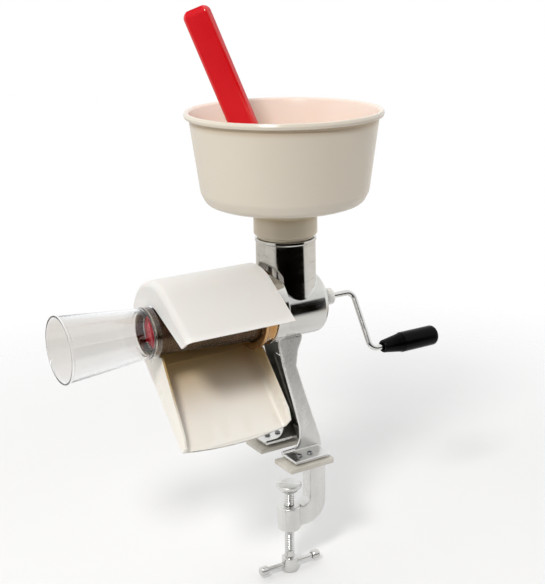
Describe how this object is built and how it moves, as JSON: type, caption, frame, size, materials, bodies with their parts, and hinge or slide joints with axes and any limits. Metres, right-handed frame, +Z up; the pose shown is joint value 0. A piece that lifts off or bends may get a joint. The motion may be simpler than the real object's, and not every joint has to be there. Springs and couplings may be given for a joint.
{
  "type": "hand-cranked food strainer",
  "caption": "Table-clamp food strainer: hopper over a cast barrel, crank-driven auger in a tapered screen, splatter shield, sloping chute and clear waste funnel.",
  "frame": {"origin": "on the table top that the two foot pads stand on, straight below the feed tube's axis", "axes": "+Z up along the feed tube; the barrel's axis runs along X, 181 mm above the origin, with the crank at +X and the waste funnel at -X; the chute runs down towards -Y"},
  "size_m": [0.453, 0.214, 0.6591],
  "materials": {
    "cream_plastic": "glossy moulded plastic",
    "red_plastic": "glossy moulded plastic",
    "cast_aluminium": "polished casting",
    "stainless": "pressed and perforated stainless steel",
    "bright_steel": "bright plated rod",
    "dark_steel": "dark oxide",
    "clear_plastic": "clear moulded plastic",
    "black_plastic": "glossy black",
    "white_nylon": "satin",
    "pale_rubber": "matt",
    "grey_rubber": "matt"
  },
  "bodies": {
    "frame": {"body_casting": "cast_aluminium", "foot_pad_front": "pale_rubber", "foot_pad_rear": "pale_rubber", "foot_screw_front_1": "dark_steel", "foot_screw_front_2": "dark_steel", "foot_screw_rear_1": "dark_steel", "foot_screw_rear_2": "dark_steel", "rear_bushing": "white_nylon", "strainer_screen": "stainless", "screen_seal": "grey_rubber", "screen_end_ring": "stainless", "sauce_chute": "cream_plastic"},
    "collar": {"screen_collar": "stainless"},
    "crank": {"auger": "red_plastic", "auger_spring": "bright_steel", "thrust_washer": "white_nylon", "crank_rod": "bright_steel", "crank_clip": "dark_steel", "grip_push_nut": "bright_steel"},
    "grip": {"crank_grip": "black_plastic", "grip_end_plug": "black_plastic"},
    "hopper": {"hopper": "cream_plastic"},
    "pusher": {"pusher": "red_plastic"},
    "funnel": {"waste_funnel": "clear_plastic"},
    "shield": {"splatter_shield": "cream_plastic"},
    "clamp_cup": {"clamp_cup": "cast_aluminium"},
    "clamp_screw": {"clamp_screw": "bright_steel"},
    "clamp_bar": {"clamp_bar": "bright_steel", "clamp_bar_knob_a": "bright_steel", "clamp_bar_knob_b": "bright_steel"}
  },
  "joints": [
    {"name": "crank_turn", "type": "hinge", "parent": "frame", "child": "crank", "pos_m": [0, 0, 0.181], "axis": [1, 0, 0], "continuous": true},
    {"name": "grip_spin", "type": "hinge", "parent": "crank", "child": "grip", "pos_m": [0.145, -0.0376, 0.1215], "axis": [1, 0, 0], "continuous": true},
    {"name": "hopper_lift", "type": "slide", "parent": "frame", "child": "hopper", "axis": [0, 0, 1], "range_m": [0, 0.06]},
    {"name": "pusher_lift", "type": "slide", "parent": "hopper", "child": "pusher", "axis": [-0.3002, 0.1804, 0.9367], "range_m": [0, 0.12]},
    {"name": "funnel_pull", "type": "slide", "parent": "frame", "child": "funnel", "axis": [-1, 0, 0], "range_m": [0, 0.05]},
    {"name": "shield_lift", "type": "slide", "parent": "frame", "child": "shield", "axis": [0, 0, 1], "range_m": [0, 0.045]},
    {"name": "collar_turn", "type": "hinge", "parent": "frame", "child": "collar", "pos_m": [-0.043, 0, 0.181], "axis": [-1, 0, 0], "range_deg": [0, 30]},
    {"name": "clamp_travel", "type": "slide", "parent": "frame", "child": "clamp_cup", "axis": [0, 0, 1], "range_m": [-0.0145, 0.0295]},
    {"name": "clamp_turn", "type": "hinge", "parent": "clamp_cup", "child": "clamp_screw", "pos_m": [0, 0, -0.08], "axis": [0, 0, 1], "range_deg": [-1800, 3600]},
    {"name": "bar_slide", "type": "slide", "parent": "clamp_screw", "child": "clamp_bar", "axis": [1, 0, 0], "range_m": [-0.02, 0.02]}
  ],
  "couplings": [
    {"joint": "clamp_turn", "follows": "clamp_travel", "rad_per_m": 2094.4}
  ]
}
